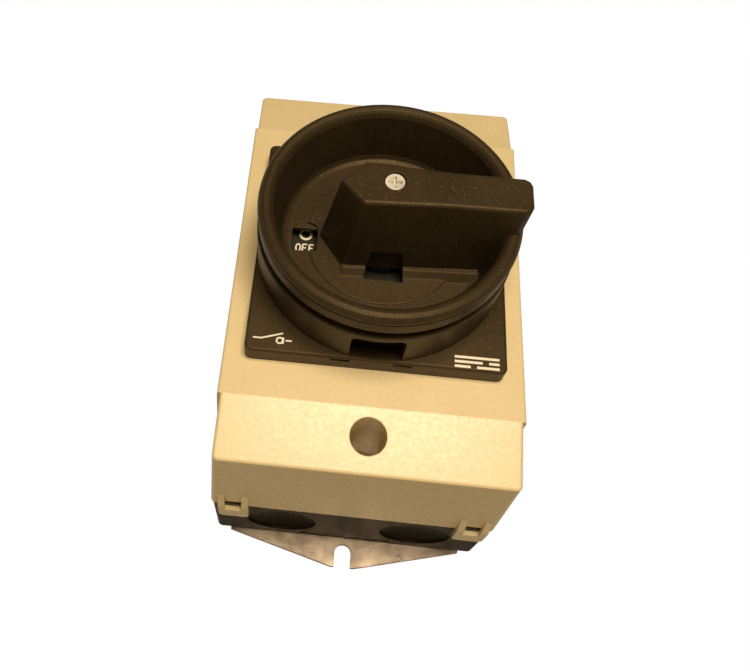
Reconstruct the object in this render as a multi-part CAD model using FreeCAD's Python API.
import FreeCAD, Part
import math
import os

# Enclosed rotary main switch, millimetres.
# X is to the right, Z is up the wall, Y runs into the wall, and the wall is the plane Y = 0.
# Most sizes are given as a depth, the distance in front of the wall, so Y = -depth.

os.makedirs("parts", exist_ok=True)
V = FreeCAD.Vector

# ---- overall sizes
WIDTH = 82.0             # enclosure width at the cover's rim
HEIGHT = 120.0           # enclosure height at the cover's rim
BRACKET_T = 1.5          # mounting bracket thickness, the base stands on it
BASE_TOP = 28.2          # depth of the base's rim
GASKET_T = 0.8           # cover gasket, compressed
COVER_DEPTH = 44.0       # cover from its rim to its front face
WALL = 2.5               # base and cover wall
FLOOR_T = 2.5            # base floor
COVER_FRONT_T = 3.0      # front wall of the cover
FRONT_DRAFT = 2.0        # how much each side leans in at the front of the middle section
END_STEP = 0.8           # how much further the sloped end sections lean in
SLOPE_RUN = 16.4         # length of the sloped ends
SLOPE_DROP = 4.0         # how far the sloped ends fall back
CORNER_R = 1.6           # upright corners of the base and the cover
CORNER_IN = 0.6          # the same corners inside the walls
BASE_STEP = 0.6          # the base's rim is this much smaller than the cover's
BASE_LEAN = 0.2          # how far the base's end walls lean out towards the wall
FRONT_EASE = 0.8         # rounding of the cover's front edges

RIM = BASE_TOP + GASKET_T
FACE = RIM + COVER_DEPTH
INNER_FACE = FACE - COVER_FRONT_T
FLOOR = BRACKET_T + FLOOR_T
CREASE_Z = HEIGHT / 2.0 - SLOPE_RUN

# ---- fits
SLIP = 0.1               # clearance of pieces that slide or drop into each other
RUN = 0.08               # radial clearance of turning fits
THREAD = 0.05            # radial gap drawn between a screw and its thread
LOOSE = 0.3              # clearance round a screw's shank

# ---- cover and base details
WELL_Z = HEIGHT / 2.0 - 9.3      # cover screws, above and below the centre
WELL_R = 4.7
WELL_WALL = 1.8
WELL_BOTTOM = 40.0       # depth of the seat under the screw head
SCREW_SEAT_T = 3.0
COVER_SCREW_R = 2.0
COVER_HEAD_R = 3.8
COVER_HEAD_H = 2.6
SEAL_T = 0.8
HOOK_X = WIDTH / 2.0 - 6.8       # snap hooks, from the middle
HOOK_W = 8.8
HOOK_LEG = 2.0
HOOK_T = 1.6
HOOK_TOP = 38.0
HOOK_FADE = 6.5          # length over which the hooks run out into the end wall
HOOK_REACH = 6.7         # how far the hooks reach behind the cover's rim
HOOK_BAND = 6.5          # cross band at the tip of a hook
SNAP_T = 2.2             # latch on the base that the band catches under
TONGUE_H = 3.0
TONGUE_T = 1.5
KNOCKOUT_X = WIDTH / 2.0 - 20.9  # dished cable knockouts in the base's end walls
KNOCKOUT_R = 10.4
KNOCKOUT_DISH = 1.7
KNOCKOUT_RIM = 0.6       # step round the dish
KNOCKOUT_DEPTH = 15.9
NOTCH_W = 28.0           # notch in the rear edge of the end walls
NOTCH_H = 2.9
NOTCH_IN = 2.2

# ---- bracket
LUG_ROOT = WIDTH / 2.0 - 5.0
LUG_TIP = 3.7
LUG_Z = HEIGHT / 2.0 + 8.7
LUG_SLOT_R = 2.6
LUG_SLOT_END = HEIGHT / 2.0 + 1.7
RIVET_X = WIDTH / 2.0 - 12.0
RIVET_Z = HEIGHT / 2.0 - 16.0
RIVET_R = 1.5
RIVET_HEAD_R = 3.0
RIVET_HEAD_H = 1.4

# ---- bezel, dial and handle; these depths are counted from the cover's face
COLLAR_R = 33.2
COLLAR_T = 2.7
COLLAR_TOP = 17.3
COLLAR_IN = COLLAR_R - COLLAR_T
BEZEL = 2 * COLLAR_R + 0.2
BEZEL_T = 5.4
BEZEL_CORNER = 1.8
BEZEL_EASE = 0.7
SEAL_OUT = BEZEL - 6.6   # square gasket under the bezel, outside and inside
SEAL_IN = SEAL_OUT - 5.0
SEAL_DEPTH = 1.0
SEAL_CORNER = 4.0
HUB_R = 7.5
HUB_END = 5.6            # how far the hub reaches behind the cover's face
BEZEL_BORE_R = HUB_R + RUN
SEAL_RING_R = HUB_R + 2.1
SEAL_SEAT = 2.4
DIAL_HUB = SEAL_RING_R + 1.6
SPIGOT_R = HUB_R + 8.3
SHACKLE_W = 13.5         # padlock channel under the handle and its gate in the collar
SHACKLE_LOW = 3.4
SHACKLE_SILL = 4.9
SHACKLE_TOP = 16.3
GATE_CORNER = 2.2
BEZEL_SCREW_XZ = COLLAR_R - 8.7
BEZEL_SCREW_R = 1.5
BEZEL_HEAD_R = 2.8
BEZEL_HEAD_H = 2.0
TAB_RECESSES = ((-11.2, -6.2), (4.8, 9.6))
DIAL_T = 0.8
SKIRT_R = COLLAR_IN - 0.5
SKIRT_T = 2.4
SKIRT_LOW = 8.5
DIAL_R = SKIRT_R - 3.0
KNOB_LOW = 19.6
RING_R = COLLAR_R - 0.1
RING_TOP = 27.3
BOWL_FLOOR = 11.0
BOWL_R = SKIRT_R - 3.9
BOWL_FLOOR_T = 1.6
PLATEAU_R = BOWL_R - 5.9
PLATEAU_H = 0.4
BAR_TOP = 36.0
BAR_END = RING_R - 0.2
BAR_OFFSET = -0.9        # the grip's middle lies a little below the axis
BAR_EASE = 0.9
RAMP_H = 1.7             # low ramp along the foot of the grip
WINDOW_X = 20.6
WINDOW_W = 6.8
WINDOW_LOW = -5.9
WINDOW_HIGH = 1.6
WINDOW_ARCH = 1.5
MOUTH_X = 0.5            # padlock opening in the handle's floor
MOUTH_Z = (-13.1, -8.0)
KNOB_SCREW_R = 2.0
KNOB_HEAD_R = 2.4
KNOB_HEAD_H = 2.2
KNOB_HEAD_DEEP = 0.3     # how far the head lies below the top of the grip
RETAINER_T = 1.0
RETAINER_DEEP = 0.9
RETAINER_BACK = INNER_FACE - RETAINER_T - 0.2

# ---- switch mechanism, depths from the wall
RAIL_SEAT = 8.0
RAIL_H = 7.5
RAIL_T = 1.0
RAIL_W = 35.0
RAIL_WEB = 27.0
RAIL_LEN = 56.0
RAIL_SCREW_X = 24.5
RAIL_SCREW_R = 1.6
FOOT_T = 3.5
SHAFT = 6.0
ROTOR_R = SHAFT / 2.0 + 2.5
CAM_MAX = 8.0
CAM_MIN = 6.0
CAM_POCKET_R = CAM_MAX + 1.2
CAM_GAP = 0.12
TIP_R = 1.6
FLANGE_X = CAM_MAX + 6.6
BRIDGE_X = FLANGE_X + 1.0
BRIDGE_T = 1.0
BRIDGE_HALF = 12.0
PIN_R = 1.3
CONTACT_Z = BRIDGE_HALF - 2.2
CONTACT_R = 1.8
RIVET_T = 0.8
CONTACT_GAP = CAM_MAX - CAM_MIN + 0.1
STRIP_T = 1.2
CONTACT_STACK = STRIP_T + 0.6
GUIDE_X = BRIDGE_X - RIVET_T - CONTACT_GAP - CONTACT_STACK + STRIP_T + SLIP
SPRING_R = 2.5
WIRE_R = 0.35
TERMINAL_Z = {"front": BRIDGE_HALF + 8.0, "rear": BRIDGE_HALF + 16.0}
TERMINAL_X = BRIDGE_X + 0.3
TERMINAL_R = 1.7
TERMINAL_EDGE = 4.0      # chamber edge beyond a terminal's screw
CHAMBER_T = 12.0
CHAMBER_W = 2 * (BRIDGE_X + 10.4)
CHAMBER_FLOOR = 1.5
SPRING_END = CHAMBER_W / 2.0 - 2.0
BRIDGE_REACH = BRIDGE_X + BRIDGE_T + 2.9     # room for the moving contact's travel
DETENT_T = 9.0
DETENT_Z = 15.5
DETENT_WALL = 2.0
DETENT_FLAT = ROTOR_R + 1.0
DETENT_CORNER = DETENT_FLAT + 1.7
DETENT_WIRE_R = 0.6
STOP_LOW = 6.0           # depth of the stop finger in the detent housing
STOP_REACH = DETENT_CORNER + 3.2
PLATE_T = 1.5
TIE_X = CHAMBER_W / 2.0 - 3.2
TIE_Z = 10.0
TIE_R = 1.4
EARTH_X = 11.0 - WIDTH / 2.0
EARTH_Z = 29.0 - HEIGHT / 2.0
EARTH_H = 7.0
EARTH_SCREW_R = 1.5

FOOT_BACK = RAIL_SEAT + RAIL_H
REAR = FOOT_BACK + FOOT_T
FRONT = REAR + CHAMBER_T
DETENT = FRONT + CHAMBER_T
PLATE = DETENT + DETENT_T
PLATE_FRONT = PLATE + PLATE_T
SHAFT_FRONT = FACE + 8.0
EARTH_TOP = FLOOR + EARTH_H


def block(x0, x1, d0, d1, z0, z1):
    """A box between two depths."""
    return Part.makeBox(x1 - x0, d1 - d0, z1 - z0, V(x0, -d1, z0))


def disc(r, d0, d1, x=0.0, z=0.0):
    """A cylinder along the depth."""
    return Part.makeCylinder(r, d1 - d0, V(x, -d0, z), V(0, -1, 0))


def tube(r_out, r_in, d0, d1, x=0.0, z=0.0):
    return disc(r_out, d0, d1, x, z).cut(disc(r_in, d0 - 1, d1 + 1, x, z))


def prism(points, d0, d1):
    """An outline of (x, z) points drawn out between two depths."""
    wire = Part.makePolygon([V(x, -d0, z) for x, z in points + points[:1]])
    return Part.Face(wire).extrude(V(0, d0 - d1, 0))


def side_prism(points, x0, x1):
    """An outline of (depth, z) points drawn out along X."""
    wire = Part.makePolygon([V(x0, -d, z) for d, z in points + points[:1]])
    return Part.Face(wire).extrude(V(x1 - x0, 0, 0))


def end_prism(points, z0, z1):
    """An outline of (x, depth) points drawn out along Z."""
    wire = Part.makePolygon([V(x, -d, z0) for x, d in points + points[:1]])
    return Part.Face(wire).extrude(V(0, 0, z1 - z0))


def outline(w, h, r, d):
    """A rectangle with round corners, as a wire at one depth."""
    a, b, k = w / 2.0, h / 2.0, r * (1.0 - math.sqrt(0.5))
    edges = []
    for sx, sz in ((1, 1), (-1, 1), (-1, -1), (1, -1)):
        on_side, on_end = V(sx * a, -d, sz * (b - r)), V(sx * (a - r), -d, sz * b)
        start, end = (on_side, on_end) if sx == sz else (on_end, on_side)
        if edges:
            edges.append(Part.makeLine(last, start))
        edges.append(Part.Arc(start, V(sx * (a - k), -d, sz * (b - k)), end).toShape())
        last = end
    return Part.Wire(edges + [Part.makeLine(last, edges[0].Vertexes[0].Point)])


def tapered(w0, h0, d0, w1, h1, d1, r):
    """A solid between two rounded rectangles at two depths."""
    return Part.makeLoft([outline(w0, h0, r, d0), outline(w1, h1, r, d1)], True, True)


def slab(w, h, r, d0, d1):
    return Part.Face(outline(w, h, r, d0)).extrude(V(0, d0 - d1, 0))


def revolved(profile):
    """A (radius, depth) outline turned about the handle's axis."""
    wire = Part.makePolygon([V(r, -d, 0) for r, d in profile + profile[:1]])
    return Part.Face(wire).revolve(V(0, 0, 0), V(0, 1, 0), 360)


def mirror_x(shape):
    return shape.mirror(V(0, 0, 0), V(1, 0, 0))


def mirror_z(shape):
    return shape.mirror(V(0, 0, 0), V(0, 0, 1))


def screw(x, z, tip, seat, r, head_r, head_h, slot=True):
    """A screw that points at the wall; its head stands on the seat."""
    body = disc(r, tip, seat + 0.01, x, z).fuse(disc(head_r, seat, seat + head_h, x, z))
    if slot:
        top = seat + head_h
        body = body.cut(block(x - head_r, x + head_r, top - 0.45 * head_h, top + 1, z - 0.4, z + 0.4))
    return body


def corners_at(reach):
    """The four places at an equal distance to each side of the axis."""
    return [(x, z) for x in (-reach, reach) for z in (-reach, reach)]


def joined(shapes):
    first = shapes[0]
    return first.fuse(shapes[1:]).removeSplitter() if len(shapes) > 1 else first


def save(name, shapes):
    """Write one piece, or several like fasteners, as one file."""
    shapes = shapes if isinstance(shapes, list) else [shapes]
    solids = [s for shape in shapes for s in shape.Solids]
    result = solids[0] if len(solids) == 1 else Part.makeCompound(solids)
    result.exportStep(os.path.join("parts", name + ".step"))


# ---- mounting bracket and its rivets
def bracket():
    root = HEIGHT / 2.0 + 0.4
    half = [(-LUG_ROOT, root), (-LUG_TIP, LUG_Z), (LUG_TIP, LUG_Z), (LUG_ROOT, root)]
    low = [(-x, -z) for x, z in half]
    plate = prism(half + low, 0.0, BRACKET_T)
    for s in (-1, 1):
        centre = LUG_SLOT_END + LUG_SLOT_R
        plate = plate.cut(disc(LUG_SLOT_R, -1, BRACKET_T + 1, 0, s * centre))
        z0, z1 = sorted((s * centre, s * (LUG_Z + 5)))
        plate = plate.cut(block(-LUG_SLOT_R, LUG_SLOT_R, -1, BRACKET_T + 1, z0, z1))
        for x in (-RIVET_X, RIVET_X):
            plate = plate.cut(disc(RIVET_R + THREAD, -1, BRACKET_T + 1, x, s * RIVET_Z))
    return plate


def rivets():
    return [
        disc(RIVET_R, 0.1, FLOOR + 0.01, x, z).fuse(disc(RIVET_HEAD_R, FLOOR, FLOOR + RIVET_HEAD_H, x, z))
        for x in (-RIVET_X, RIVET_X) for z in (-RIVET_Z, RIVET_Z)
    ]


# ---- base
def knockout(x, z_sign):
    """The round dish of a moulded knockout, sunk into an end wall."""
    ball_r = (KNOCKOUT_R ** 2 + KNOCKOUT_DISH ** 2) / (2 * KNOCKOUT_DISH)
    lean = BASE_LEAN * (BASE_TOP - KNOCKOUT_DEPTH) / (BASE_TOP - BRACKET_T)
    step = (HEIGHT - BASE_STEP) / 2.0 + lean - KNOCKOUT_RIM
    ball = Part.makeSphere(ball_r, V(x, -KNOCKOUT_DEPTH, z_sign * (step + ball_r - KNOCKOUT_DISH)))
    rim = Part.makeCylinder(KNOCKOUT_R, 5.0, V(x, -KNOCKOUT_DEPTH, z_sign * step), V(0, 0, z_sign))
    zone = Part.makeCylinder(KNOCKOUT_R, 10.0, V(x, -KNOCKOUT_DEPTH, z_sign * (step - 5.0)), V(0, 0, z_sign))
    return ball.common(zone).fuse(rim)


def base():
    rim_w, rim_h = WIDTH - BASE_STEP, HEIGHT - BASE_STEP
    body = tapered(rim_w - 0.8, rim_h + 2 * BASE_LEAN, BRACKET_T, rim_w, rim_h, BASE_TOP, CORNER_R)
    rear = [g for g in body.Edges if g.BoundBox.YMin > -(BRACKET_T + 0.01)]
    body = body.makeFillet(0.9, rear)
    lean = (FRONT_DRAFT + END_STEP) * (TONGUE_H + 1) / (INNER_FACE - RIM + 1)
    tongue_w, tongue_h = WIDTH - 2 * (WALL + SLIP + lean), HEIGHT - 2 * WALL - 5 * SLIP
    body = body.fuse(slab(tongue_w, tongue_h, CORNER_IN, BASE_TOP - 1, RIM + TONGUE_H))
    inner_w, inner_h = tongue_w - 2 * TONGUE_T, tongue_h - 2 * TONGUE_T
    cavity = tapered(inner_w - 1.6, inner_h - 0.6, FLOOR, inner_w, inner_h, RIM + TONGUE_H + 1, CORNER_IN)
    body = body.cut(cavity)
    adds, cuts = [], []
    for s in (-1, 1):
        adds.append(disc(WELL_R + 0.6, FLOOR - 1, WELL_BOTTOM - SCREW_SEAT_T, 0, s * WELL_Z))
        cuts.append(disc(COVER_SCREW_R + THREAD, FLOOR + 4, WELL_BOTTOM, 0, s * WELL_Z))
        adds.append(disc(RAIL_SCREW_R + 2.6, FLOOR - 1, RAIL_SEAT, s * RAIL_SCREW_X, 0))
        cuts.append(disc(RAIL_SCREW_R + THREAD, BRACKET_T + 1, RAIL_SEAT + 1, s * RAIL_SCREW_X, 0))
        for x in (-RIVET_X, RIVET_X):
            cuts.append(disc(RIVET_R + THREAD, 0, FLOOR + 1, x, s * RIVET_Z))
        for x in (-KNOCKOUT_X, KNOCKOUT_X):
            cuts.append(knockout(x, s))
        for x in (-HOOK_X, HOOK_X):
            half = HOOK_W / 2.0 - HOOK_LEG - 2 * SLIP
            z0, z1 = sorted((s * (tongue_h / 2.0 - 0.5), s * (HEIGHT / 2.0 + 0.3)))
            adds.append(block(x - half, x + half, RIM, RIM + SNAP_T, z0, z1))
        z0, z1 = sorted((s * (HEIGHT / 2.0 - NOTCH_IN), s * (HEIGHT / 2.0 + 2)))
        cuts.append(block(-NOTCH_W / 2.0, NOTCH_W / 2.0, 0, BRACKET_T + NOTCH_H, z0, z1))
    body = joined([body] + adds)
    return body.cut(Part.makeCompound(cuts))


def gasket():
    outer = slab(WIDTH - 1.0, HEIGHT - 1.0, CORNER_R, BASE_TOP, RIM)
    return outer.cut(slab(WIDTH - 2 * WALL, HEIGHT - 2 * WALL, CORNER_IN, BASE_TOP - 1, RIM + 1))


# ---- cover
def slopes(drop_from, crease):
    """The two wedges cut off the ends of the cover's front."""
    wedges = []
    for s in (-1, 1):
        far, clear = crease + 2 * SLOPE_RUN, drop_from + 20.0
        pts = [(drop_from, s * crease), (drop_from - 2 * SLOPE_DROP, s * far),
               (clear, s * far), (clear, s * crease)]
        wedges.append(side_prism(pts, -WIDTH, WIDTH))
    return wedges


def cover_hooks():
    """U-shaped snap hooks that grow out of the end walls and reach behind the rim."""
    hooks = []
    tip, band = RIM - HOOK_REACH, RIM - HOOK_REACH + HOOK_BAND
    for s in (-1, 1):
        wall, out = s * HEIGHT / 2.0, s * (HEIGHT / 2.0 + HOOK_T)
        z0, z1 = sorted((wall - 0.05 * s, out))
        for x in (-HOOK_X, HOOK_X):
            a, b = x - HOOK_W / 2.0, x + HOOK_W / 2.0
            plate = block(a, b, tip, HOOK_TOP, z0, z1)
            corners = [e for e in plate.Edges
                       if abs(e.Length - (z1 - z0)) < 1e-6 and e.CenterOfMass.y > -tip - 0.1]
            plate = plate.makeFillet(HOOK_T, corners)
            plate = plate.cut(block(a + HOOK_LEG, b - HOOK_LEG, band, HOOK_TOP + 1, z0 - 1, z1 + 1))
            fade = [(HOOK_TOP - HOOK_FADE, out), (HOOK_TOP + 1, wall - 0.3 * s), (HOOK_TOP + 1, out + s),
                    (HOOK_TOP - HOOK_FADE, out + s)]
            hooks.append(plate.cut(side_prism(fade, a - 1, b + 1)))
    return hooks


def cover():
    front_w = WIDTH - 2 * FRONT_DRAFT
    end_w = front_w - 2 * END_STEP
    ends = tapered(WIDTH, HEIGHT, RIM, end_w, HEIGHT, FACE, CORNER_R)
    ends = ends.cut(Part.makeCompound(slopes(FACE, CREASE_Z)))
    low = FACE - SLOPE_DROP - 0.3
    sides = [e for e in ends.Edges if e.BoundBox.YMax < -low and e.BoundBox.ZLength > 5]
    ends = ends.makeFillet(FRONT_EASE, sides)
    middle = end_prism([(-WIDTH / 2.0, RIM + 2), (-front_w / 2.0, FACE), (front_w / 2.0, FACE),
                        (WIDTH / 2.0, RIM + 2)], -CREASE_Z, CREASE_Z)
    sides = [e for e in middle.Edges if e.BoundBox.YMax < -low and e.BoundBox.ZLength > 5]
    body = ends.fuse(middle.makeFillet(FRONT_EASE, sides))
    cavity = tapered(WIDTH - 2 * WALL, HEIGHT - 2 * WALL, RIM - 1,
                     end_w - 2 * WALL, HEIGHT - 2 * WALL, INNER_FACE, CORNER_IN)
    cavity = cavity.cut(Part.makeCompound(slopes(INNER_FACE, CREASE_Z - 0.5)))
    body = body.cut(cavity)
    wells, holes = [], []
    for s in (-1, 1):
        outer = disc(WELL_R + WELL_WALL, WELL_BOTTOM - SCREW_SEAT_T, FACE, 0, s * WELL_Z)
        wells.append(outer.cut(Part.makeCompound(slopes(FACE - 1.0, CREASE_Z))))
        holes.append(disc(WELL_R, WELL_BOTTOM, FACE + 1, 0, s * WELL_Z))
        seat_back = WELL_BOTTOM - SCREW_SEAT_T - 1
        holes.append(disc(COVER_SCREW_R + LOOSE, seat_back, WELL_BOTTOM + 1, 0, s * WELL_Z))
        for x in (-HOOK_X, HOOK_X):
            half = HOOK_W / 2.0 - HOOK_LEG
            z0, z1 = sorted((s * (HEIGHT / 2.0 - WALL - 1), s * (HEIGHT / 2.0 + HOOK_T + 1)))
            holes.append(block(x - half, x + half, RIM - 0.5, RIM + TONGUE_H - SLIP, z0, z1))
    holes.append(disc(SPIGOT_R + SLIP, INNER_FACE - 1, FACE + 1))
    for x, z in corners_at(BEZEL_SCREW_XZ):
        holes.append(disc(BEZEL_SCREW_R + 2 * SLIP, INNER_FACE - 1, FACE + 1, x, z))
    body = joined([body] + wells + cover_hooks())
    return body.cut(Part.makeCompound(holes))


def cover_screws():
    seat = WELL_BOTTOM + SEAL_T
    return [screw(0, s * WELL_Z, FLOOR + 6, seat, COVER_SCREW_R, COVER_HEAD_R, COVER_HEAD_H) for s in (-1, 1)]


def cover_screw_seals():
    return [tube(COVER_HEAD_R, COVER_SCREW_R + THREAD, WELL_BOTTOM, WELL_BOTTOM + SEAL_T, 0, s * WELL_Z)
            for s in (-1, 1)]


# ---- bezel, dial and seals
def bezel():
    front = FACE + BEZEL_T
    plate = slab(BEZEL, BEZEL, BEZEL_CORNER, FACE, front)
    rim_edges = [e for e in plate.Edges if e.BoundBox.YMax < -(front - 0.01)]
    plate = plate.makeFillet(BEZEL_EASE, rim_edges)
    adds = [tube(COLLAR_R, COLLAR_IN, front - 0.5, FACE + COLLAR_TOP), disc(SPIGOT_R, INNER_FACE, FACE + 1)]
    half, low, top = SHACKLE_W / 2.0, FACE + SHACKLE_SILL, FACE + SHACKLE_TOP
    gate = block(-half, half, low, top, -COLLAR_R - 1, -COLLAR_IN + 4)
    tops = [e for e in gate.Edges
            if e.BoundBox.YMax < -(top - 0.01) and e.BoundBox.XLength < 0.01 and e.BoundBox.ZLength > 1]
    gate = gate.makeFillet(GATE_CORNER, tops)
    cuts = [disc(SEAL_RING_R, FACE + SEAL_SEAT, front + 1),
            seal_ring(0.0, -1.0),
            block(-half, half, FACE + SHACKLE_LOW, front + 1, -COLLAR_IN + 1.0, -DIAL_HUB),
            gate.common(block(-half, half, low, top, -COLLAR_R + 1.0, 0)),
            gate.common(block(-half, half, front - 0.01, top, -COLLAR_R - 1, 0))]
    for x0, x1 in TAB_RECESSES:
        edge = -BEZEL / 2.0
        cuts.append(block(x0, x1, front - 2.0, front - BEZEL_EASE - 0.1, edge - 1, edge + 0.7))
    for x, z in corners_at(BEZEL_SCREW_XZ):
        cuts.append(disc(BEZEL_SCREW_R + THREAD, FACE - 1, front - 1.0, x, z))
    body = joined([plate] + adds).cut(disc(BEZEL_BORE_R, INNER_FACE - 1, front + 1))
    return body.cut(Part.makeCompound(cuts))


def seal_ring(gap, below=0.0):
    """The square seal under the bezel, drawn in by a gap from the walls of its groove."""
    outer = slab(SEAL_OUT - 2 * gap, SEAL_OUT - 2 * gap, SEAL_CORNER, FACE + below, FACE + SEAL_DEPTH)
    return outer.cut(slab(SEAL_IN + 2 * gap, SEAL_IN + 2 * gap, SEAL_CORNER - 1, FACE - 2, FACE + 2))


def bezel_gasket():
    return seal_ring(THREAD)


def bezel_screws():
    """Screws from inside the cover, their heads under its front wall."""
    screws = []
    back = INNER_FACE - BEZEL_HEAD_H
    for x, z in corners_at(BEZEL_SCREW_XZ):
        shank = disc(BEZEL_SCREW_R, INNER_FACE - 0.01, FACE + BEZEL_T - 1.4, x, z)
        head = disc(BEZEL_HEAD_R, back, INNER_FACE, x, z)
        slot = block(x - BEZEL_HEAD_R - 1, x + BEZEL_HEAD_R + 1, back - 1, back + 0.9, z - 0.35, z + 0.35)
        screws.append(shank.fuse(head.cut(slot)))
    return screws


def dial():
    low = FACE + BEZEL_T
    plate = tube(DIAL_R, HUB_R + 0.4, low, low + DIAL_T)
    half = SHACKLE_W / 2.0 + 0.2
    return plate.cut(block(-half, half, low - 1, low + DIAL_T + 1, -DIAL_R - 1, -DIAL_HUB))


def shaft_seal():
    low = FACE + SEAL_SEAT
    top = FACE + BEZEL_T
    ring = tube(SEAL_RING_R - THREAD, HUB_R + 0.05, low, top)
    return ring.cut(tube(SEAL_RING_R - 0.7, HUB_R + 0.7, low + 1.1, top + 1))


# ---- handle
def ring_section():
    """Half section of the handle's skirt, ring and bowl, as (radius, depth) points."""
    low, top, floor = FACE + KNOB_LOW, FACE + RING_TOP, FACE + BOWL_FLOOR
    under, inner = floor - BOWL_FLOOR_T, SKIRT_R - SKIRT_T
    skirt = [(0, under), (inner, under), (inner, FACE + SKIRT_LOW), (SKIRT_R, FACE + SKIRT_LOW),
             (SKIRT_R, low - 0.8), (RING_R - 1.4, low - 0.2), (RING_R - 0.6, low + 0.3), (RING_R - 0.2, low + 1.0)]
    groove = [(RING_R - 0.3, top - 3.6), (RING_R - 0.9, top - 3.4), (RING_R - 0.9, top - 3.0)]
    ring = [(RING_R - 0.2, top - 2.8), (RING_R, top - 2.1), (RING_R - 0.2, top - 1.2), (RING_R - 0.8, top - 0.4),
            (RING_R - 1.8, top), (RING_R - 2.8, top - 0.2), (RING_R - 3.5, top - 0.8), (RING_R - 4.1, top - 1.9)]
    bowl = [(BOWL_R + 0.9, floor + 1.6), (BOWL_R + 0.2, floor + 0.5), (BOWL_R - 0.8, floor), (0, floor)]
    return skirt + groove + ring + bowl


def lofted(sections):
    """A straight-sided solid through outlines of (x, z) points, each with its depth."""
    wires = [Part.makePolygon([V(x, -depth, z) for x, z in pts + pts[:1]]) for pts, depth in sections]
    return Part.makeLoft(wires, True, True)


def box_outline(x0, x1, half_left, half_right, z):
    """Four corners of a bar that tapers from left to right about a middle line."""
    return [(x0, z - half_left), (x1, z - half_right), (x1, z + half_right), (x0, z + half_left)]


def grip():
    """The thumb bar: pointed at the window's end, spreading towards its foot."""
    e, mid = FACE, BAR_OFFSET
    end = BAR_END
    upper = [(-12.7, 0.0), (-7.0, 6.2), (13.4, 5.1), (end - 1.9, 5.0), (end - 0.6, 4.3), (end, 3.0)]
    lower = [(-16.9, 0.0), (-10.2, 9.6), (13.4, 8.2), (end - 3.6, 7.0), (end - 2.2, 6.0), (end - 1.6, 4.4)]
    sections = []
    for half, depth in ((lower, e + BOWL_FLOOR - 0.5), (upper, e + BAR_TOP)):
        back = [(x, -z) for x, z in reversed(half[1:])]
        sections.append(([(x, z + mid) for x, z in half + back], depth))
    bar = lofted(sections)
    rim = [g for g in bar.Edges if g.BoundBox.YMax < -(e + BAR_TOP - 0.01)]
    return bar.makeFillet(BAR_EASE, rim).cut(tube(2 * RING_R, SKIRT_R - 0.5, e, e + KNOB_LOW + 1.0))


def knob():
    e = FACE
    body = revolved(ring_section())
    floor = e + BOWL_FLOOR
    ramp = lofted([(box_outline(-10.4, 24.5, 12.8, 10.8, BAR_OFFSET), floor - 0.3),
                   (box_outline(-10.4, 24.5, 10.0, 8.4, BAR_OFFSET), floor + RAMP_H)])
    ramp = ramp.common(disc(BOWL_R + 1.0, e, e + BAR_TOP))
    plateau = disc(PLATEAU_R, floor - 0.5, floor + PLATEAU_H)
    rim = [g for g in plateau.Edges if g.BoundBox.YMax < -(floor + 0.1)]
    plateau = plateau.makeFillet(0.9 * PLATEAU_H, rim)
    hub = disc(HUB_R, e - HUB_END, floor - 0.5)
    body = joined([body, grip(), ramp, plateau, hub])
    half = SHAFT / 2.0 + THREAD
    left, right = -WINDOW_X - WINDOW_W / 2.0, -WINDOW_X + WINDOW_W / 2.0
    arch_r = (WINDOW_W ** 2 / 4.0 + WINDOW_ARCH ** 2) / (2 * WINDOW_ARCH)
    arch = disc(arch_r, floor - 0.5, floor + 3, -WINDOW_X, WINDOW_HIGH + WINDOW_ARCH - arch_r)
    arch = arch.common(block(left, right, floor - 0.5, floor + 3, WINDOW_LOW, WINDOW_HIGH + WINDOW_ARCH))
    mouth = lofted([(box_outline(MOUTH_X - half_w, MOUTH_X + half_w, deep, deep, sum(MOUTH_Z) / 2.0), depth)
                    for half_w, depth in ((5.6, floor - 3.0), (3.9, floor + 7.0))
                    for deep in ((MOUTH_Z[1] - MOUTH_Z[0]) / 2.0,)])
    gate = SHACKLE_W / 2.0
    cuts = [block(-half, half, e - HUB_END - 1, SHAFT_FRONT + 0.2, -half, half),
            disc(KNOB_SCREW_R + THREAD, SHAFT_FRONT, e + BAR_TOP + 1),
            disc(KNOB_HEAD_R + LOOSE, e + BAR_TOP - KNOB_HEAD_H - KNOB_HEAD_DEEP, e + BAR_TOP + 1),
            block(left, right, e, floor + 3, WINDOW_LOW, WINDOW_HIGH),
            arch,
            tube(HUB_R + 2, HUB_R - RETAINER_DEEP, RETAINER_BACK - SLIP, RETAINER_BACK + RETAINER_T + SLIP),
            mouth,
            block(-gate, gate, e + SKIRT_LOW - 1, floor - BOWL_FLOOR_T, -SKIRT_R - 1, -SKIRT_R + 4)]
    for cut in cuts:
        body = body.cut(cut)
    return body


def knob_screw():
    seat = FACE + BAR_TOP - KNOB_HEAD_H - KNOB_HEAD_DEEP
    body = disc(KNOB_SCREW_R, FACE + 1.5, seat + 0.01).fuse(disc(KNOB_HEAD_R, seat, seat + KNOB_HEAD_H))
    top, reach, half = seat + KNOB_HEAD_H, 0.7 * KNOB_HEAD_R, 0.35
    body = body.cut(block(-reach, reach, top - 1.1, top + 1, -half, half))
    return body.cut(block(-half, half, top - 1.1, top + 1, -reach, reach))


def knob_retainer():
    inner = HUB_R - RETAINER_DEEP + THREAD
    ring = tube(HUB_R + 2.4, inner, RETAINER_BACK, RETAINER_BACK + RETAINER_T)
    return ring.cut(block(-3.0, 3.0, 0, FACE, -HUB_R - 4, 1.5 - HUB_R))


def drive_shaft():
    half = SHAFT / 2.0
    bar = block(-half, half, REAR - 1.7, SHAFT_FRONT, -half, half)
    return bar.cut(disc(KNOB_SCREW_R + THREAD, FACE + 0.5, SHAFT_FRONT + 1))


# ---- rotor pieces
def square_bore(d0, d1):
    half = SHAFT / 2.0 + THREAD
    return block(-half, half, d0 - 1, d1 + 1, -half, half)


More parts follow.
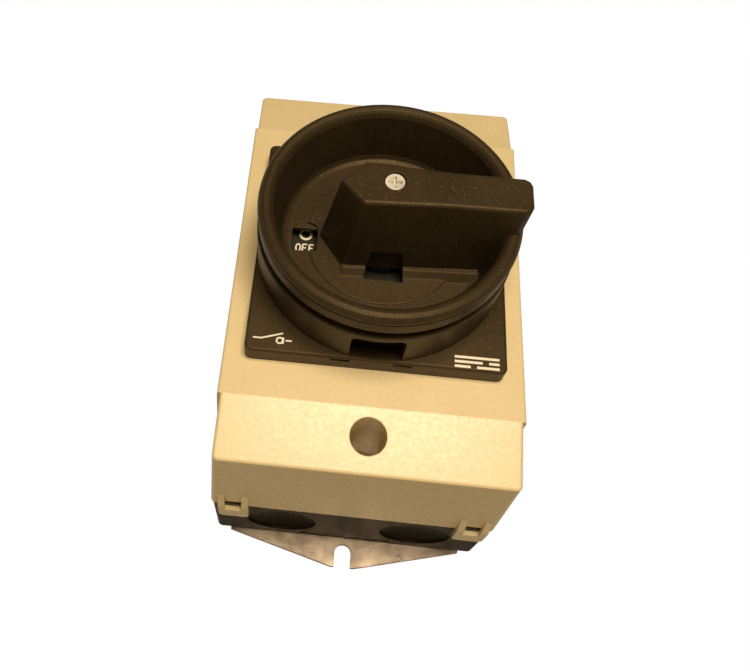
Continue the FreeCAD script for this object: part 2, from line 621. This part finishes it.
def cam_outline():
    """Radius falls evenly from the crest to the waist over each quarter turn."""
    points = []
    for i in range(96):
        a = i * 360.0 / 96.0
        fold = abs(1.0 - (a % 180.0) / 90.0)
        r = CAM_MIN + (CAM_MAX - CAM_MIN) * fold
        points.append((r * math.cos(math.radians(a)), r * math.sin(math.radians(a))))
    return points


def cam(low, rear_end):
    lobe = prism(cam_outline(), low + 2.0, low + CHAMBER_T - 1.0)
    hub = disc(ROTOR_R, rear_end, low + CHAMBER_T)
    return joined([lobe, hub]).cut(square_bore(rear_end, low + CHAMBER_T))


def detent_wheel():
    flat, corner = DETENT_FLAT, DETENT_CORNER
    low, top = DETENT + CHAMBER_FLOOR + SLIP, PLATE - SLIP
    wheel = block(-flat, flat, low, top, -flat, flat).common(disc(corner, low, top))
    finger = block(-STOP_REACH, -5.0, DETENT + STOP_LOW, top, -1.5, 1.5)
    hub = disc(ROTOR_R, DETENT, PLATE_FRONT + 0.6)
    return joined([wheel, finger, hub]).cut(square_bore(DETENT, PLATE_FRONT + 1))


# ---- detent housing, spring and front plate
def tie_holes(shape, d0, d1, r):
    for s in (-1, 1):
        shape = shape.cut(disc(r, d0, d1, s * TIE_X, s * TIE_Z))
    return shape


def detent_housing():
    body = slab(CHAMBER_W, 2 * DETENT_Z, 1.5, DETENT, PLATE)
    half = STOP_REACH + 1.4
    body = body.cut(slab(2 * half, 2 * (DETENT_Z - DETENT_WALL), 2.0, DETENT + CHAMBER_FLOOR, PLATE + 1))
    low, near = DETENT + STOP_LOW, DETENT_CORNER + 0.5
    stop_low = block(-half - 0.4, -near, low, PLATE, -4.2, -1.6)
    stop_high = block(1.6, 4.2, low, PLATE, near, DETENT_Z - DETENT_WALL + 0.7)
    body = joined([body, stop_low, stop_high])
    body = body.cut(disc(ROTOR_R + RUN, DETENT - 1, DETENT + 3))
    return tie_holes(body, DETENT - 1, PLATE + 1, TIE_R + THREAD)


def detent_spring():
    r, x = DETENT_WIRE_R, DETENT_FLAT + DETENT_WIRE_R + 0.15
    d = DETENT + CHAMBER_FLOOR + r + 0.05
    path = Part.Wire([Part.makeLine(V(-x, -d, -11.0), V(-x, -d, 5.0)),
                      Part.Arc(V(-x, -d, 5.0), V(0, -d, 5.0 + x), V(x, -d, 5.0)).toShape(),
                      Part.makeLine(V(x, -d, 5.0), V(x, -d, -11.0))])
    ring = Part.Wire(Part.makeCircle(r, V(-x, -d, -11.0), V(0, 0, 1)))
    return path.makePipeShell([ring], True, False)


def front_plate():
    body = slab(CHAMBER_W, 2 * DETENT_Z, 1.5, PLATE, PLATE_FRONT)
    body = body.cut(disc(ROTOR_R + RUN, PLATE - 1, PLATE_FRONT + 1))
    return tie_holes(body, PLATE - 1, PLATE_FRONT + 1, TIE_R + 0.2)


# ---- contact chambers
def chamber(low, tier):
    zt = TERMINAL_Z[tier]
    edge = zt + TERMINAL_EDGE
    top = low + CHAMBER_T
    body = slab(CHAMBER_W, 2 * edge, 1.5, low, top)
    strip_x = contact_face() - CONTACT_STACK
    cuts = [disc(ROTOR_R + RUN, low - 1, top + 1), disc(CAM_POCKET_R, low + CHAMBER_FLOOR, top + 1)]
    for sx in (-1, 1):
        def cut_box(x0, x1, d0, z0, z1):
            a, b = sorted((sx * x0, sx * x1))
            cuts.append(block(a, b, d0, top + 1, z0, z1))
        cut_box(5.0, FLANGE_X + 0.5, low + 2.9, -TIP_R - SLIP, TIP_R + SLIP)
        cut_box(GUIDE_X, BRIDGE_REACH, low + 3.4, -BRIDGE_HALF - 1, BRIDGE_HALF + 1)
        cut_box(BRIDGE_REACH - 0.5, SPRING_END, low + 3.4, -SPRING_R - 0.7, SPRING_R + 0.7)
        for sz in (-1, 1):
            z0, z1 = sorted((sz * 7.5, sz * (edge + 1)))
            cut_box(strip_x - SLIP, strip_x + STRIP_T + SLIP, low + 4.4, z0, z1)
            z0, z1 = sorted((sz * (zt - 3.7), sz * (edge + 1)))
            cut_box(strip_x + STRIP_T - 0.1, TERMINAL_X + 4.0, low + 4.5, z0, z1)
            cuts.append(disc(TERMINAL_R + 0.5, low + CHAMBER_FLOOR, top + 1, sx * TERMINAL_X, sz * zt))
    body = body.cut(Part.makeCompound(cuts[:1])).cut(Part.makeCompound(cuts[1:2]))
    for c in cuts[2:]:
        body = body.cut(c)
    return tie_holes(body, low - 1, top + 1, TIE_R + THREAD)


def contact_face():
    """Where the fixed contact's button faces the moving one, with the switch off."""
    return BRIDGE_X - RIVET_T - CONTACT_GAP


def side(shape, sx):
    return shape if sx > 0 else mirror_x(shape)


def plunger(low, sx):
    d0, d1 = low + 3.0, low + CHAMBER_T - SLIP
    x_tip = CAM_MAX + CAM_GAP
    tip = disc(TIP_R, d0, d1, x_tip + TIP_R, 0)
    stem = block(x_tip + TIP_R, FLANGE_X + 0.1, d0, d1, -TIP_R, TIP_R)
    flange = block(FLANGE_X, BRIDGE_X, low + 4.0, low + 10.0, -3.2, 3.2)
    pin = Part.makeCylinder(PIN_R, 4.2, V(BRIDGE_X - 0.1, -(low + 7.0), 0), V(1, 0, 0))
    return side(joined([tip, stem, flange, pin]), sx)


def bridge(low, sx):
    bar = block(BRIDGE_X, BRIDGE_X + BRIDGE_T, low + 4.4, low + 9.6, -BRIDGE_HALF, BRIDGE_HALF)
    bar = bar.cut(Part.makeCylinder(PIN_R + THREAD, 4, V(BRIDGE_X - 1, -(low + 7.0), 0), V(1, 0, 0)))
    buttons = [Part.makeCylinder(CONTACT_R, RIVET_T + 0.1, V(BRIDGE_X - RIVET_T, -(low + 7.0), z), V(1, 0, 0))
               for z in (-CONTACT_Z, CONTACT_Z)]
    return side(joined([bar] + buttons), sx)


def contact_spring(low, sx):
    """A coil between the bridge and the chamber's side wall."""
    start = BRIDGE_X + BRIDGE_T + WIRE_R
    length = SPRING_END - WIRE_R - start
    pitch = length / 4.0
    coil = Part.makeLongHelix(pitch, length, SPRING_R - WIRE_R)
    profile = Part.Wire(Part.makeCircle(WIRE_R, V(SPRING_R - WIRE_R, 0, 0), V(0, 1, 0)))
    body = Part.Wire(coil.Edges).makePipeShell([profile], True, True)
    body.rotate(V(0, 0, 0), V(0, 1, 0), 90)
    body.translate(V(start if sx > 0 else WIRE_R - SPRING_END, -(low + 7.0), 0))
    return body


def fixed_contact(low, tier, sx, sz):
    zt = TERMINAL_Z[tier]
    face = contact_face()
    x0 = face - CONTACT_STACK
    strip = block(x0, x0 + STRIP_T, low + 4.5, low + 9.5, 7.7, zt + 3.3)
    button = Part.makeCylinder(CONTACT_R, 0.7, V(face - 0.7, -(low + 7.0), CONTACT_Z), V(1, 0, 0))
    pad = block(x0 + STRIP_T - 0.1, TERMINAL_X + 3.6, low + 4.5, low + 6.0, zt - 3.3, zt + 3.3)
    body = joined([strip, button, pad]).cut(disc(TERMINAL_R + THREAD, low, low + 8, TERMINAL_X, zt))
    body = body if sz > 0 else mirror_z(body)
    return side(body, sx)


def terminals():
    """Every terminal screw and the clamp under its head."""
    screws, clamps = [], []
    for low, tier in ((REAR, "rear"), (FRONT, "front")):
        zt = TERMINAL_Z[tier]
        for sx in (-1, 1):
            for sz in (-1, 1):
                x, z = sx * TERMINAL_X, sz * zt
                clamp = block(x - 3.1, x + 3.1, low + 6.0, low + 7.2, z - 3.0, z + 3.0)
                clamps.append(clamp.cut(disc(TERMINAL_R + THREAD, low, low + 9, x, z)))
                screws.append(screw(x, z, low + 2.0, low + 7.2, TERMINAL_R, 2.7, 2.2))
    return screws, clamps


# ---- rail, foot, ties and earth terminal
def din_rail():
    web, half = RAIL_WEB / 2.0, RAIL_W / 2.0
    low, top = RAIL_SEAT, RAIL_SEAT + RAIL_H
    pts = [(low, -web), (low, web), (top - RAIL_T, web), (top - RAIL_T, half), (top, half),
           (top, web - RAIL_T), (low + RAIL_T, web - RAIL_T), (low + RAIL_T, -web + RAIL_T),
           (top, -web + RAIL_T), (top, -half), (top - RAIL_T, -half), (top - RAIL_T, -web)]
    rail = side_prism(pts, -RAIL_LEN / 2.0, RAIL_LEN / 2.0)
    for s in (-1, 1):
        rail = rail.cut(disc(RAIL_SCREW_R + LOOSE, 0, top, s * RAIL_SCREW_X, 0))
    return rail


def rail_screws():
    return [screw(s * RAIL_SCREW_X, 0, FLOOR - 1.0, RAIL_SEAT + RAIL_T, RAIL_SCREW_R, 3.2, 2.2) for s in (-1, 1)]


def switch_foot():
    half = RAIL_W / 2.0
    flange_back = FOOT_BACK - RAIL_T
    body = slab(CHAMBER_W, 46.0, 1.5, FOOT_BACK, REAR)
    hooks = []
    for s in (-1, 1):
        z0, z1 = sorted((s * (half + 0.15), s * (half + 3.0)))
        hooks.append(block(-18, 18, flange_back - 3.0, FOOT_BACK + 0.5, z0, z1))
        z0, z1 = sorted((s * (half - 2.0), s * (half + 1.0)))
        hooks.append(block(-18, 18, flange_back - 3.0, flange_back - 0.15, z0, z1))
    body = joined([body] + hooks)
    body = body.cut(disc(ROTOR_R + RUN, REAR - 2.0, REAR + 1))
    return tie_holes(body, FOOT_BACK + 0.8, REAR + 1, TIE_R + THREAD)


def tie_screws():
    return [screw(s * TIE_X, s * TIE_Z, FOOT_BACK + 1.0, PLATE_FRONT, TIE_R, 2.6, 2.2) for s in (-1, 1)]


def earth_terminal():
    body = block(EARTH_X - 4, EARTH_X + 4, FLOOR, EARTH_TOP, EARTH_Z - 7, EARTH_Z + 7)
    for s in (-1, 1):
        z = EARTH_Z + s * 3.5
        body = body.cut(Part.makeCylinder(1.7, 10, V(EARTH_X - 5, -(FLOOR + 3.0), z), V(1, 0, 0)))
        body = body.cut(disc(EARTH_SCREW_R + THREAD, FLOOR + 3.0, EARTH_TOP + 1, EARTH_X, z))
    return body


def earth_screws():
    return [screw(EARTH_X, EARTH_Z + s * 3.5, FLOOR + 5.0, EARTH_TOP, EARTH_SCREW_R, 2.4, 1.8) for s in (-1, 1)]


# ---- write every piece
save("mounting_bracket", bracket())
save("bracket_rivets", rivets())
save("base_housing", base())
save("cover_gasket", gasket())
save("cover", cover())
save("cover_screws", cover_screws())
save("cover_screw_seals", cover_screw_seals())
save("bezel_plate", bezel())
save("bezel_gasket", bezel_gasket())
save("bezel_screws", bezel_screws())
save("dial_plate", dial())
save("shaft_seal", shaft_seal())
save("knob", knob())
save("knob_screw", knob_screw())
save("knob_retainer", knob_retainer())
save("drive_shaft", drive_shaft())
save("cam_rear", cam(REAR, REAR - 1.9))
save("cam_front", cam(FRONT, FRONT))
save("detent_wheel", detent_wheel())
save("detent_housing", detent_housing())
save("detent_spring", detent_spring())
save("front_plate", front_plate())
save("chamber_rear", chamber(REAR, "rear"))
save("chamber_front", chamber(FRONT, "front"))
POLES = (("l1", FRONT, "front", -1), ("l2", FRONT, "front", 1), ("l3", REAR, "rear", -1), ("n", REAR, "rear", 1))
for pole, low, tier, sx in POLES:
    save("plunger_" + pole, plunger(low, sx))
    save("bridge_" + pole, bridge(low, sx))
    save("contact_spring_" + pole, contact_spring(low, sx))
    save("line_contact_" + pole, fixed_contact(low, tier, sx, 1))
    save("load_contact_" + pole, fixed_contact(low, tier, sx, -1))
terminal_screws, terminal_clamps = terminals()
save("terminal_screws", terminal_screws)
save("terminal_clamps", terminal_clamps)
save("tie_screws", tie_screws())
save("din_rail", din_rail())
save("rail_screws", rail_screws())
save("switch_foot", switch_foot())
save("earth_terminal", earth_terminal())
save("earth_screws", earth_screws())
